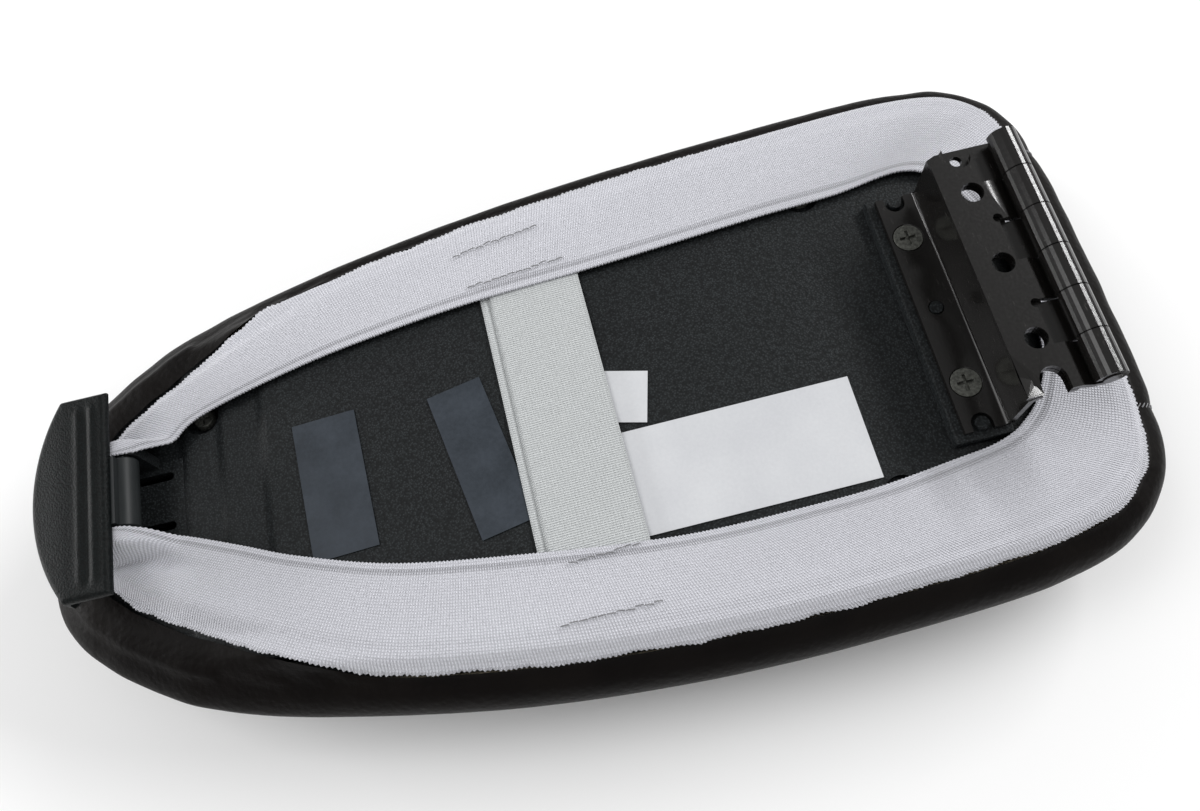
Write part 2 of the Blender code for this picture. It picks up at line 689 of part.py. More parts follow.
def makeSpring(low, high):
    perTurn = 12
    curve = bpy.data.curves.new("latch_spring", "CURVE")
    curve.dimensions = "3D"
    curve.bevel_depth = springWire
    curve.bevel_resolution = 1
    curve.use_fill_caps = True
    spline = curve.splines.new("POLY")
    count = springTurns * perTurn + 1
    spline.points.add(count - 1)
    for i in range(count):
        angle = TAU * i / perTurn
        height = low + (high - low) * i / (count - 1)
        spline.points[i].co = (springX + springRadius * math.cos(angle), springRadius * math.sin(angle),
                               lifted(height), 1)
    curve.materials.append(finish("bright_steel"))
    parts.objects.link(bpy.data.objects.new("latch_spring", curve))


makeCover()
makeFoam()
makeCarrier()
makeTray()
makeTrayScrews()
makeElastic()
makeStickers()
makeLidLeaf()
makeConsoleLeaf()
makeHingePin()
makeHingeScrews()
makeLatch()
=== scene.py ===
import math
import bpy
import bmesh
import numpy as np
from mathutils import Matrix, Vector


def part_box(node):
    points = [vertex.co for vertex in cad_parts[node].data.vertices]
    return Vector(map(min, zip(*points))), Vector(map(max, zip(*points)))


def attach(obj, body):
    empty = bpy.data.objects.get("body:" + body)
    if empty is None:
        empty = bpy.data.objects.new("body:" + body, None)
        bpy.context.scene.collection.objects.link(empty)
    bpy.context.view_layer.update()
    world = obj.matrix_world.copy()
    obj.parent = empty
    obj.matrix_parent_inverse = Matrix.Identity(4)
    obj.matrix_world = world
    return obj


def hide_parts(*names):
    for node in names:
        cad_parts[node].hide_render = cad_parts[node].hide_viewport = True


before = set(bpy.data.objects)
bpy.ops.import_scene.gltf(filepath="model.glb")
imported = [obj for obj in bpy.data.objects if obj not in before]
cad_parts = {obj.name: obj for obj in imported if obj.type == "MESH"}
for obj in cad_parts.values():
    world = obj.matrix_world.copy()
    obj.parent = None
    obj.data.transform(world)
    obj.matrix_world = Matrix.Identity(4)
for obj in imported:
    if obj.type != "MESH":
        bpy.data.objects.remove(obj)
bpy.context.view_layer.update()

mm = 0.001
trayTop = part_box("label_large")[0][2] - 0.25 * mm   # the tray's flat face, just under the label
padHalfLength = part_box("cover_rear_strip")[1][0]
padHalfWidth = 76 * mm
hubLow, hubHigh = (Vector(corner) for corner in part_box("latch_pivot_pin"))
latchAxis = (hubLow + hubHigh) / 2


cameraSettings = {"azimuth": -1.07, "elevation": 68.47, "roll": -12.3, "distance": 247.7 * mm,
                  "target": (5.5 * mm, -3.0 * mm, 42 * mm), "lens": 28.45}
stage = {"floorSize": 6, "floorTone": 0.97, "worldStrength": 0.45, "aim": (0, 0, 0.03)}
lights = {
    "keyLight": {"spot": (-0.5, 0.15, 0.9), "size": (0.5, 0.5), "power": 2.5},
    "leftLight": {"spot": (-0.95, 0.25, 0.23), "size": (0.7, 0.12), "power": 5},
    "rearLight": {"spot": (0.75, 0.25, 0.62), "size": (0.8, 0.05), "power": 6},
    "nearLight": {"spot": (0.2, -0.9, 0.6), "size": (0.7, 0.4), "power": 0.6},
}


def makeCamera():
    azimuth, elevation = (math.radians(cameraSettings[k]) for k in ("azimuth", "elevation"))
    back = Vector((math.sin(azimuth) * math.cos(elevation), -math.cos(azimuth) * math.cos(elevation),
                   math.sin(elevation)))
    right = Vector((math.cos(azimuth), math.sin(azimuth), 0))
    turn = Matrix.Rotation(math.radians(cameraSettings["roll"]), 3, back)
    right = turn @ right
    up = back.cross(right)
    data = bpy.data.cameras.new("camera")
    data.lens = cameraSettings["lens"]
    data.clip_start = 0.01
    camera = bpy.data.objects.new("camera", data)
    bpy.context.scene.collection.objects.link(camera)
    place = Matrix((right, up, back)).transposed().to_4x4()
    place.translation = Vector(cameraSettings["target"]) + back * cameraSettings["distance"]
    camera.matrix_world = place
    bpy.context.scene.camera = camera


def addLight(name, spot, size, power):
    # A rectangular lamp that looks at the middle of the part
    data = bpy.data.lights.new(name, "AREA")
    data.shape = "RECTANGLE"
    data.size, data.size_y = size
    data.energy = power
    light = bpy.data.objects.new(name, data)
    bpy.context.scene.collection.objects.link(light)
    light.location = spot
    light.rotation_euler = (Vector(stage["aim"]) - Vector(spot)).to_track_quat("-Z", "Y").to_euler()


def makeStage():
    bpy.ops.mesh.primitive_plane_add(size=stage["floorSize"], location=(0, 0, 0))
    floor = bpy.context.object
    floor.name = "floor"
    material = bpy.data.materials.new("floorPaper")
    material.use_nodes = True
    shader = material.node_tree.nodes["Principled BSDF"]
    shader.inputs["Base Color"].default_value = (*[stage["floorTone"]] * 3, 1)
    shader.inputs["Roughness"].default_value = 0.9
    floor.data.materials.append(material)
    world = bpy.context.scene.world or bpy.data.worlds.new("world")
    bpy.context.scene.world = world
    world.use_nodes = True
    sky = world.node_tree.nodes["Background"]
    sky.inputs["Color"].default_value = (1, 1, 1, 1)
    sky.inputs["Strength"].default_value = stage["worldStrength"]
    bpy.context.scene.view_settings.view_transform = "Standard"   # keeps the whites white and the blacks deep
    for name, light in lights.items():
        addLight(name, light["spot"], light["size"], light["power"])


makeCamera()
makeStage()
print("camera and light done")


class Finish:
    # A Principled material and short ways to add the nodes that vary it

    def __init__(self, name, colour, roughness, metallic=0.0, specular=0.5, coat=0.0, sheen=0.0):
        self.material = bpy.data.materials.new(name)
        self.material.use_nodes = True
        self.tree = self.material.node_tree
        self.shader = self.tree.nodes["Principled BSDF"]
        self.shader.inputs["Base Color"].default_value = (*colour, 1)
        self.shader.inputs["Roughness"].default_value = roughness
        self.shader.inputs["Metallic"].default_value = metallic
        self.shader.inputs["Specular IOR Level"].default_value = specular
        self.shader.inputs["Coat Weight"].default_value = coat
        self.shader.inputs["Coat Roughness"].default_value = 0.15
        if sheen:
            self.shader.inputs["Sheen Weight"].default_value = sheen
            self.shader.inputs["Sheen Roughness"].default_value = 0.5
        self.coordinates = None
        self.normal = None

    def node(self, kind, **settings):
        made = self.tree.nodes.new(kind)
        for key, value in settings.items():
            setattr(made, key, value)
        return made

    def link(self, output, target):
        self.tree.links.new(output, target)

    def place(self):
        if not self.coordinates:
            self.coordinates = self.node("ShaderNodeTexCoord").outputs["Object"]
        return self.coordinates

    def noise(self, size, detail=2.0, rough=0.5, stretch=None):
        # size is the width of one grain, in metres
        made = self.node("ShaderNodeTexNoise")
        made.inputs["Scale"].default_value = 1 / size
        made.inputs["Detail"].default_value = detail
        made.inputs["Roughness"].default_value = rough
        source = self.place()
        if stretch:
            mapping = self.node("ShaderNodeMapping")
            mapping.inputs["Scale"].default_value = stretch
            self.link(source, mapping.inputs["Vector"])
            source = mapping.outputs["Vector"]
        self.link(source, made.inputs["Vector"])
        return made.outputs["Fac"]

    def cells(self, size, feature="F1", randomness=1.0):
        made = self.node("ShaderNodeTexVoronoi", feature=feature)
        made.inputs["Scale"].default_value = 1 / size
        made.inputs["Randomness"].default_value = randomness
        self.link(self.place(), made.inputs["Vector"])
        return made.outputs["Distance"]

    def math(self, operation, *values, clamp=False):
        made = self.node("ShaderNodeMath", operation=operation, use_clamp=clamp)
        for socket, value in zip(made.inputs, values):
            if isinstance(value, (int, float)):
                socket.default_value = value
            else:
                self.link(value, socket)
        return made.outputs["Value"]

    def ramp(self, factor, low, high, start=0.0, end=1.0):
        made = self.node("ShaderNodeMapRange")
        for key, value in (("From Min", start), ("From Max", end), ("To Min", low), ("To Max", high)):
            made.inputs[key].default_value = value
        self.link(factor, made.inputs["Value"])
        return made.outputs["Result"]

    def colours(self, factor, *stops):
        made = self.node("ShaderNodeValToRGB")
        elements = made.color_ramp.elements
        while len(elements) < len(stops):
            elements.new(0.5)
        for element, (position, colour) in zip(elements, stops):
            element.position = position
            element.color = (*colour, 1)
        self.link(factor, made.inputs["Fac"])
        self.link(made.outputs["Color"], self.shader.inputs["Base Color"])

    def roughness(self, factor, low, high):
        self.link(self.ramp(factor, low, high), self.shader.inputs["Roughness"])

    def bump(self, height, depth, strength=1.0):
        made = self.node("ShaderNodeBump")
        made.inputs["Distance"].default_value = depth
        made.inputs["Strength"].default_value = strength
        self.link(height, made.inputs["Height"])
        if self.normal:
            self.link(self.normal, made.inputs["Normal"])
        self.normal = made.outputs["Normal"]
        self.link(self.normal, self.shader.inputs["Normal"])

    def uv(self, name="weave"):
        layer = self.node("ShaderNodeUVMap", uv_map=name)
        parts = self.node("ShaderNodeSeparateXYZ")
        self.link(layer.outputs["UV"], parts.inputs["Vector"])
        return parts.outputs["X"], parts.outputs["Y"]


def leatherFinish():
    f = Finish("leatherette", (0.003, 0.0022, 0.0019), 0.45, specular=0.075)
    grain = f.cells(1.5 * mm, "SMOOTH_F1")
    fine = f.noise(0.5 * mm, 3)
    wide = f.noise(14 * mm, 3)
    f.colours(wide, (0.3, (0.0022, 0.0015, 0.0013)), (0.7, (0.0045, 0.0033, 0.0028)))
    f.roughness(f.math("MULTIPLY_ADD", fine, 0.6, f.math("MULTIPLY", wide, 0.4)), 0.36, 0.6)
    ridged = f.math("ABSOLUTE", f.math("SUBTRACT", f.noise(11 * mm, 3, 0.6), 0.5))
    f.bump(ridged, 0.5 * mm, 0.12)
    f.bump(wide, 0.7 * mm, 0.15)
    f.bump(grain, 0.3 * mm, 0.45)
    f.bump(fine, 0.12 * mm, 0.5)
    return f.material


def sparkPlastic(name, colour, rough=0.5, grain=0.56 * mm):
    # Moulded in a spark-eroded tool: the grain's crests get painted glints, lighter than the dark ground
    # around them
    f = Finish(name, colour, rough, specular=0.16)
    glintCrests = f.cells(grain)
    fine = f.noise(0.6 * grain, 3, 0.7)
    patch = f.noise(25 * mm, 2)
    dark = tuple(c * 0.5 for c in colour)
    # painted highlight: the crests' colour is lifted to 2.4 times the plastic's own tone, standing in for
    # glints
    light = tuple(c * 2.4 for c in colour)
    mixed = f.math("MULTIPLY_ADD", fine, -0.5, f.math("ADD", glintCrests, 0.25))
    f.colours(mixed, (0.1, light), (0.4, colour), (0.75, dark))
    uneven = f.math("MULTIPLY_ADD", fine, 0.6, f.math("MULTIPLY", patch, 0.4))
    f.roughness(uneven, rough - 0.1, rough + 0.16)
    f.bump(f.math("MULTIPLY", mixed, -1), 0.14 * mm, 0.7)
    return f.material


def satinPlastic():
    f = Finish("hubSatin", (0.018, 0.02, 0.021), 0.42, specular=0.25)
    drawn = f.noise(1.6 * mm, 3, 0.6, stretch=(1, 0.08, 1))
    f.colours(drawn, (0.3, (0.014, 0.0165, 0.0175)), (0.7, (0.025, 0.028, 0.029)))
    f.roughness(drawn, 0.36, 0.5)
    f.bump(drawn, 0.05 * mm, 0.3)
    return f.material


def blackSteelFinish():
    f = Finish("blackSteel", (0.005, 0.0045, 0.0042), 0.22, specular=0.36, coat=0.16)
    peel = f.noise(0.8 * mm, 3)
    rub = f.noise(1.1 * mm, 5, 0.75, stretch=(1, 0.22, 1))
    scuffs = f.ramp(rub, 0, 1, 0.6, 0.78)
    f.colours(scuffs, (0.0, (0.006, 0.0054, 0.005)), (1.0, (0.035, 0.033, 0.031)))
    f.roughness(f.math("MULTIPLY_ADD", scuffs, 0.5, f.math("MULTIPLY", peel, 0.5)), 0.14, 0.42)
    f.bump(peel, 0.05 * mm, 0.4)
    return f.material


def oxideSteelFinish():
    f = Finish("oxideSteel", (0.08, 0.083, 0.08), 0.38, metallic=0.6)
    wear = f.noise(0.7 * mm, 4, 0.7)
    f.colours(wear, (0.35, (0.06, 0.062, 0.055)), (0.7, (0.19, 0.195, 0.175)))
    f.roughness(wear, 0.28, 0.5)
    f.bump(wear, 0.05 * mm, 0.5)
    return f.material


def brightSteelFinish():
    f = Finish("brightSteel", (0.55, 0.55, 0.56), 0.25, metallic=1.0)
    drawn = f.noise(0.6 * mm, 4)
    f.roughness(drawn, 0.18, 0.4)
    f.bump(drawn, 0.02 * mm, 0.4)
    return f.material


def elasticFinish(name, tint, alongPitch, acrossPitch, selvage, width):
    # Knitted elastic; the weave map runs along the strip in X and across it in Y, in metres.
    # Two fine grooves mark the selvage at the inner edge. The grooves and the knit's hollows are also painted
    # darker as shade, and the knit's crests are painted a little lighter.
    f = Finish(name, tint, 0.85, specular=0.25, sheen=0.25)
    along, across = f.uv()
    wobble = f.noise(3 * mm, 2)
    ribs = f.math("SINE", f.math("MULTIPLY_ADD", along, 2 * math.pi / alongPitch,
                                 f.math("MULTIPLY", wobble, 1.6)))
    rows = f.math("SINE", f.math("MULTIPLY_ADD", across, 2 * math.pi / acrossPitch,
                                 f.math("MULTIPLY", wobble, 1.2)))
    knit = f.math("MULTIPLY", f.ramp(ribs, 0, 1, -1, 0.8), f.ramp(rows, 0.3, 1, -1, 0.6))
    fromInner = f.math("ABSOLUTE", f.math("SUBTRACT", across, width - selvage))
    groove = f.ramp(fromInner, 1, 0, 0.15 * mm, 0.55 * mm)
    second = f.ramp(f.math("ABSOLUTE", f.math("SUBTRACT", across, width - selvage * 1.35)), 1, 0,
                    0.15 * mm, 0.45 * mm)
    lines = f.math("MAXIMUM", groove, f.math("MULTIPLY", second, 0.7), clamp=True)
    fuzz = f.noise(0.5 * mm, 4, 0.7)
    height = f.math("SUBTRACT", f.math("MULTIPLY_ADD", fuzz, 0.35, knit),
                    f.math("MULTIPLY", lines, 0.7))
    # painted shade: the colour darkens in the knit's hollows and along the selvage grooves and lightens a
    # little on the crests
    shade = f.math("SUBTRACT", f.math("MULTIPLY_ADD", fuzz, 0.4, f.math("MULTIPLY", knit, 0.6)),
                   f.math("MULTIPLY", lines, 0.4), clamp=True)
    dark = tuple(c * 0.46 for c in tint)
    f.colours(shade, (0.0, dark), (0.5, tint), (1.0, tuple(min(1, c * 1.12) for c in tint)))
    f.bump(height, 0.4 * mm, 0.85)
    return f.material


def paperFinish():
    f = Finish("labelPaper", (0.8, 0.8, 0.8), 0.62, specular=0.3)
    fibres = f.noise(0.9 * mm, 4, 0.65)
    wide = f.noise(18 * mm, 2)
    f.colours(f.math("MULTIPLY_ADD", fibres, 0.4, f.math("MULTIPLY", wide, 0.6)),
              (0.35, (0.57, 0.58, 0.605)), (0.65, (0.64, 0.65, 0.67)))
    f.bump(fibres, 0.03 * mm, 0.4)
    f.bump(wide, 0.4 * mm, 0.2)
    return f.material


def tapeFinish():
    f = Finish("hazyTape", (0.03, 0.037, 0.048), 0.42, specular=0.2)
    haze = f.noise(1.1 * mm, 4, 0.7)
    patches = f.noise(9 * mm, 3)
    f.colours(f.math("MULTIPLY_ADD", haze, 0.45, f.math("MULTIPLY", patches, 0.55)),
              (0.35, (0.023, 0.029, 0.037)), (0.65, (0.042, 0.051, 0.064)))
    f.roughness(haze, 0.3, 0.6)
    f.bump(haze, 0.05 * mm, 0.4)
    f.bump(patches, 0.3 * mm, 0.3)
    return f.material


def threadFinish():
    f = Finish("greyThread", (0.2, 0.2, 0.21), 0.8, sheen=0.3)
    twist = f.noise(0.3 * mm, 3)
    f.colours(twist, (0.3, (0.13, 0.13, 0.14)), (0.7, (0.3, 0.3, 0.31)))
    f.bump(twist, 0.06 * mm, 0.7)
    return f.material


def foamFinish():
    f = Finish("foam", (0.5, 0.45, 0.34), 0.95)
    pores = f.cells(0.9 * mm)
    f.colours(pores, (0.1, (0.3, 0.26, 0.18)), (0.6, (0.56, 0.5, 0.38)))
    f.bump(pores, 0.4 * mm, 0.8)
    return f.material


leather = leatherFinish()
trayPlastic = sparkPlastic("trayPlastic", (0.0135, 0.0155, 0.0165), 0.48)
latchPlastic = sparkPlastic("latchPlastic", (0.0022, 0.0036, 0.0037), 0.46, 0.52 * mm)
carrierPlastic = sparkPlastic("carrierPlastic", (0.02, 0.02, 0.02), 0.55)
hubSatin = satinPlastic()
blackSteel = blackSteelFinish()
oxideSteel = oxideSteelFinish()
brightSteel = brightSteelFinish()
paper = paperFinish()
hazyTape = tapeFinish()
greyThread = threadFinish()
foamBody = foamFinish()
print("materials done")


pad = {
    # Half of the outline, as shares of the half length and half width, from the nose to the rear
    "outline": ((-1, 0), (-0.982, 0.32), (-0.843, 0.58), (-0.646, 0.75), (-0.306, 0.89), (0.034, 0.971),
                (0.41, 1), (0.748, 0.982), (0.912, 0.868), (0.986, 0.605), (1, 0)),
    # Inset and depth under the tray's face: the side from hem to seam, then the padded face
    "section": ((8 * mm, 4.2 * mm), (3.6 * mm, 6.0 * mm), (0.9 * mm, 9.4 * mm), (0, 14 * mm),
                (0.8 * mm, 20 * mm), (3.2 * mm, 26 * mm)),
    "crown": ((3.2 * mm, 26 * mm), (7.5 * mm, 33.6 * mm), (15 * mm, 38 * mm), (25 * mm, 40.7 * mm),
              (38 * mm, 41.9 * mm)),
    "columns": 360, "sideRows": 24, "crownRows": 20, "middleRows": 10,
    "drift": (-1.5 * mm, 5.5 * mm, 0.41),   # the middle line's run to one side: nose, tail, start
    "noseHem": 8 * mm,                      # how much further in the hem runs round the nose
    "rearSeam": 41 * mm,                    # half width of the rear strip
    "hemFade": 0.42,                        # share of the side rows over which the nose's hem fades
    "hemLift": 1.2 * mm,                    # how far the hem stays above what lies under it
    "rimInset": 7.5 * mm,                   # the inner shell starts this far in
    "gathers": ((46, 0.3, 0.3), (71, 0.2, 1.7), (29, 0.34, 4.1)),   # waves: count, size in mm, phase
    "floorGap": 0.15 * mm,
}


def smoothCurve(knots, closed, steps=24):
    # Catmull-Rom points through the knots
    knots = np.array(knots, float)
    count = len(knots)
    made = []
    for i in range(count if closed else count - 1):
        if closed:
            a, b, c, d = (knots[(i + k) % count] for k in (-1, 0, 1, 2))
        else:
            a, b, c, d = (knots[min(max(i + k, 0), count - 1)] for k in (-1, 0, 1, 2))
        for t in np.linspace(0, 1, steps, endpoint=False):
            made.append(0.5 * (2 * b + (c - a) * t + (2 * a - 5 * b + 4 * c - d) * t * t
                               + (3 * b - a - 3 * c + d) * t ** 3))
    if not closed:
        made.append(knots[-1])
    return np.array(made)


def evenly(points, count, closed):
    # The same line with points at equal distances
    if closed:
        points = np.vstack([points, points[:1]])
    walked = np.append(0, np.cumsum(np.linalg.norm(np.diff(points, axis=0), axis=1)))
    wanted = np.linspace(0, walked[-1], count, endpoint=not closed)
    return np.column_stack([np.interp(wanted, walked, points[:, k]) for k in range(points.shape[1])])


def padOutline(count):
    half = [(x * padHalfLength, y * padHalfWidth) for x, y in pad["outline"]]
    loop = half + [(x, -y) for x, y in half[-2:0:-1]]
    return evenly(smoothCurve(loop, True), count, True)


def drift(x):
    # Sideways run of the pad's middle line
    nose, tail, start = pad["drift"]
    return nose + (tail - nose) * np.maximum(0, (x / padHalfLength + start) / (1 + start)) ** 2


def inwardOf(loop):
    # Unit directions that point into a closed loop, in plan
    along = np.roll(loop, -1, axis=0) - np.roll(loop, 1, axis=0)
    along /= np.linalg.norm(along, axis=1)[:, None]
    return np.column_stack([along[:, 1], -along[:, 0]])


def easing(value, start, end):
    # 0 before the start, 1 past the end, smooth between
    t = np.clip((value - start) / (end - start), 0, 1)
    return t * t * (3 - 2 * t)


def bell(value, middle, width):
    # 1 at the middle, and near 0 two widths away
    return np.exp(-((value - middle) / width) ** 2)


def meshOf(name, grid, material, closed=True, size=None, across=None):
    # A sheet of quads through grid[row][column]; size is its length and width for the weave map
    rows, columns = grid.shape[:2]
    mesh = bpy.data.meshes.new(name)
    faces = []
    last = columns if closed else columns - 1
    corners = ((0, 0), (0, 1), (1, 1), (1, 0))
    for r in range(rows - 1):
        for c in range(last):
            faces.append([(r + dr) * columns + (c + dc) % columns for dr, dc in corners])
    mesh.from_pydata(grid.reshape(-1, 3).tolist(), [], faces)
    if size:
        layer = mesh.uv_layers.new(name="weave")
        across = np.linspace(0, 1, rows) if across is None else across
        values = []
        for r in range(rows - 1):
            for c in range(last):
                for dr, dc in corners:
                    values += [(c + dc) / last * size[0], across[r + dr] * size[1]]
        layer.data.foreach_set("uv", values)
    mesh.materials.append(material)
    mesh.shade_smooth()
    thing = bpy.data.objects.new(name, mesh)
    bpy.context.scene.collection.objects.link(thing)
    return thing


def selectOnly(thing):
    bpy.ops.object.select_all(action="DESELECT")
    thing.select_set(True)
    bpy.context.view_layer.objects.active = thing


def applyAll(thing):
    selectOnly(thing)
    for modifier in list(thing.modifiers):
        bpy.ops.object.modifier_apply(modifier=modifier.name)


def thicken(thing, thickness, offset=-1.0):
    wall = thing.modifiers.new("wall", "SOLIDIFY")
    wall.thickness = thickness
    wall.offset = offset
    applyAll(thing)


def smoother(thing, levels=1):
    finer = thing.modifiers.new("finer", "SUBSURF")
    finer.levels = finer.render_levels = levels
    applyAll(thing)


def tidyMesh(thing, merge=0.01 * mm, slivers=False):
    selectOnly(thing)
    bpy.ops.object.mode_set(mode="EDIT")
    bpy.ops.mesh.select_all(action="SELECT")
    bpy.ops.mesh.remove_doubles(threshold=merge)
    if slivers:
        bpy.ops.mesh.dissolve_degenerate(threshold=merge)
    bpy.ops.mesh.normals_make_consistent(inside=False)
    bpy.ops.object.mode_set(mode="OBJECT")


def soften(thing, width, segments=2, angle=32, sharp=40):
    if width:
        edge = thing.modifiers.new("edge", "BEVEL")
        edge.width = width
        edge.segments = segments
        edge.limit_method = "ANGLE"
        edge.angle_limit = math.radians(angle)
        applyAll(thing)
    bpy.ops.object.shade_smooth_by_angle(angle=math.radians(sharp))
    level = thing.modifiers.new("level", "WEIGHTED_NORMAL")
    level.keep_sharp = True
    applyAll(thing)


def copyOf(node, name, material):
    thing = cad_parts[node].copy()
    thing.data = thing.data.copy()
    thing.name = thing.data.name = name
    bpy.context.scene.collection.objects.link(thing)
    thing.hide_render = thing.hide_viewport = False
    thing.data.materials.clear()
    thing.data.materials.append(material)
    return thing


def refined(node, name, width, material):
    # A copy of a hard node with its edges broken, which stands for that node.
    # Pressed sheet gets no bevel, and a lower angle so that its folds stay crisp.
    thing = copyOf(node, name, material)
    tidyMesh(thing, 0.02 * mm, slivers=True)
    soften(thing, width, sharp=40 if width else 24)
    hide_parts(node)
    return thing


def hemExtra(x):
    # How much further in the hem runs, which is all of it at the nose and none past the middle
    return pad["noseHem"] * (1 - easing(x, -0.8 * padHalfLength, -0.36 * padHalfLength))


def shellHeight(x, inset):
    # What lies under the hem, from the tray's face: the inner shell's rim, then the tray
    face = -4 * mm * easing(-x, 80 * mm, 107 * mm)
    onTray = easing(inset, 8.6 * mm, 12.4 * mm)
    return -4.6 * mm * (1 - onTray) + (face + 0.35 * mm) * onTray


def coverGrid():
    # Rows run from the hem, over the widest line and the seam, to the spine of the padded face
    loop = padOutline(pad["columns"])
    inward = inwardOf(loop)
    side = evenly(smoothCurve(pad["section"], False), pad["sideRows"], False)
    crown = evenly(smoothCurve(pad["crown"], False), pad["crownRows"], False)[1:]
    extra = hemExtra(loop[:, 0])
    rows = []
    for number, (inset, depth) in enumerate(list(side) + list(crown)):
        share = max(0, 1 - number / (pad["sideRows"] * pad["hemFade"])) ** 1.3
        reach = inset + extra * share
        flat = loop + inward * reach[:, None]
        height = trayTop - depth + 0.16 * extra * share
        if number < pad["sideRows"] / 2:
            lifted = np.maximum(height, trayTop + shellHeight(flat[:, 0], reach) + pad["hemLift"])
            height = np.where(reach < pad["rimInset"], height, lifted)
        rows.append(np.column_stack([flat[:, 0], flat[:, 1] + drift(flat[:, 0]), height]))
    rim = rows[-1]
    spine = np.column_stack([np.clip(rim[:, 0] * 0.9, -0.62 * padHalfLength, 0.5 * padHalfLength),
                             np.zeros(len(rim)), rim[:, 2]])
    for k in range(1, pad["middleRows"] + 1):
        t = k / pad["middleRows"]
        row = rim * (1 - t) + spine * t
        row[:, 2] = rim[:, 2] - 0.1 * mm * easing(t, 0, 0.4)
        rows.append(row)
    return np.array(rows)


def wrinkle(grid):
    # Gathers where the elastic pulls the hem round the corners, and slack creases along the sides
    rows, columns = grid.shape[:2]
    inward = inwardOf(grid[0, :, :2])
    walked = np.arange(columns) / columns
    along = grid[0, :, 0] / padHalfLength
    corner = bell(along, 0.84, 0.17)
    nose = bell(along, -0.78, 0.17)
    for r in range(rows):
        down = r / pad["sideRows"]
        hemShare = max(0, 1 - down * 1.25) ** 0.8
        wave = np.zeros(columns)
        for count, size, phase in pad["gathers"]:
            wave += size * np.sin(2 * np.pi * count * walked + phase + 1.3 * down)
        gather = wave * (0.08 + 0.3 * corner + 0.3 * nose) * hemShare
        slack = 0.06 * np.sin(2 * np.pi * 11 * walked + 4 * down) * bell(down, 0.6, 0.3)
        amount = (gather + slack) * mm
        grid[r, :, 0] -= inward[:, 0] * amount
        grid[r, :, 1] -= inward[:, 1] * amount
        grid[r, :, 2] += 0.5 * gather * mm
    return grid


def seamPinch(grid, firstColumn, lastColumn):
    # The leather draws in along the lower seam and along the two upright seams of the rear strip
    seam = pad["sideRows"] - 1
    inward = inwardOf(grid[seam, :, :2])
    columns = np.arange(grid.shape[1])
    upright = np.maximum(bell(columns, firstColumn, 1.1), bell(columns, lastColumn, 1.1))
    puffs = 0.1 * np.maximum(bell(columns, firstColumn - 5, 3), bell(columns, lastColumn + 5, 3))
    for r in range(grid.shape[0]):
        pull = 1.1 * mm * bell(r, seam, 0.9)
        if r <= seam:
            pull = np.maximum(pull, 0.6 * mm * upright) - puffs * mm * bell(r, seam * 0.45, seam * 0.4)
        grid[r, :, 0] += inward[:, 0] * pull
        grid[r, :, 1] += inward[:, 1] * pull
    return grid


coverCloth = {"frames": 20, "pressure": 4, "mass": 0.3, "stretch": 40, "bending": 6, "furthest": 1.6 * mm}


def inflate(grid):
    # Cloth simulation of the whole cover, held at its hem and seam, with its change of shape capped
    rows, columns = grid.shape[:2]
    body = meshOf("coverSimulation", grid, leather)
    held = body.vertex_groups.new(name="held")
    seam = pad["sideRows"] - 1
    for r, weight in ((0, 1.0), (1, 0.8), (seam - 1, 0.35), (seam, 1.0), (seam + 1, 0.35)):
        held.add(list(range(r * columns, (r + 1) * columns)), weight, "REPLACE")
    held.add(list(range((rows - 4) * columns, rows * columns)), 1.0, "REPLACE")
    cloth = body.modifiers.new("cloth", "CLOTH")
    cloth.settings.quality = 5
    cloth.settings.mass = coverCloth["mass"]
    cloth.settings.tension_stiffness = cloth.settings.compression_stiffness = coverCloth["stretch"]
    cloth.settings.bending_stiffness = coverCloth["bending"]
    cloth.settings.vertex_group_mass = "held"
    cloth.settings.use_pressure = True
    cloth.settings.uniform_pressure_force = coverCloth["pressure"]
    cloth.settings.effector_weights.gravity = 0
    scene = bpy.context.scene
    for number in range(1, coverCloth["frames"] + 1):
        scene.frame_set(number)
    swollen = body.evaluated_get(bpy.context.evaluated_depsgraph_get())
    points = np.empty(rows * columns * 3)
    swollen.to_mesh().vertices.foreach_get("co", points)
    swollen.to_mesh_clear()
    scene.frame_set(1)
    bpy.data.objects.remove(body)
    moved = points.reshape(grid.shape) - grid
    far = np.linalg.norm(moved, axis=2, keepdims=True)
    moved *= np.minimum(1, coverCloth["furthest"] / np.maximum(far, 1e-9))
    settled = grid + moved
    settled[:, :, 2] = np.maximum(settled[:, :, 2], pad["floorGap"])
    return settled


def makeCover():
    grid = wrinkle(coverGrid())
    grid = inflate(grid)
    seam = pad["sideRows"] - 1
    columns = grid.shape[1]
    line = grid[seam]
    tail = [i for i, (x, y, z) in enumerate(line) if x > 0 and abs(y - drift(x)) < pad["rearSeam"]]
    first, last = tail[0], tail[-1]
    grid = seamPinch(grid, first, last)
    ring = [(last + k) % columns for k in range(columns - (last - first))] + [first]
    pieces = {"coverRearStrip": (grid[:seam + 1, first:last + 1], False, "cover_rear_strip"),
              "coverSideStrip": (grid[:seam + 1, ring], False, "cover_side_strip"),
              "coverTopPanel": (grid[seam:], True, "cover_top_panel")}
    for name, (part, closed, node) in pieces.items():
        piece = meshOf(name, part.copy(), leather, closed)
        tidyMesh(piece, 0.02 * mm)
        smoother(piece)
        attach(piece, "lid")
        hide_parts(node)
    return grid, first, last


def makeCore(node, name, material, sunk):
    # What fills the cover, drawn in a little so that the gathered leather clears it
    core = copyOf(node, name, material)
    tidyMesh(core, 0.02 * mm)
    for point, normal in [(v, v.normal.copy()) for v in core.data.vertices]:
        point.co -= normal * sunk
    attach(core, "lid")
    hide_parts(node)


coverShape, firstSeam, lastSeam = makeCover()
makeCore("foam_pad", "foamFilling", foamBody, 1.6 * mm)
print("cover done")


